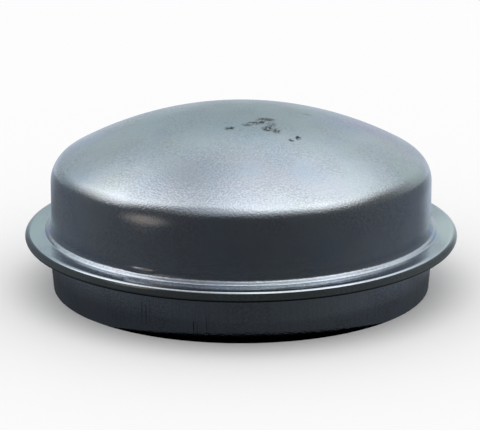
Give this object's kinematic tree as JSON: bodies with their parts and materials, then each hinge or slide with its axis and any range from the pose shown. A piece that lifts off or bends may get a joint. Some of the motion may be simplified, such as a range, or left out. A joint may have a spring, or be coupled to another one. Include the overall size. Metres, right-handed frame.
{
  "type": "hub grease cap",
  "caption": "Round domed hub cap drawn from sheet steel, with a folded flange round its middle and an open tapered spigot that presses into a wheel hub.",
  "frame": {"origin": "centre of the open mouth, in the plane that the mouth's edge rests on", "axes": "+Z along the cap's axis, from the mouth to the crown; X and Y are alike"},
  "size_m": [0.074, 0.074, 0.0306],
  "materials": {
    "zinc_plated_steel": "satin zinc plate, passivated"
  },
  "bodies": {
    "root": {"grease_cap": "zinc_plated_steel"}
  },
  "joints": []
}
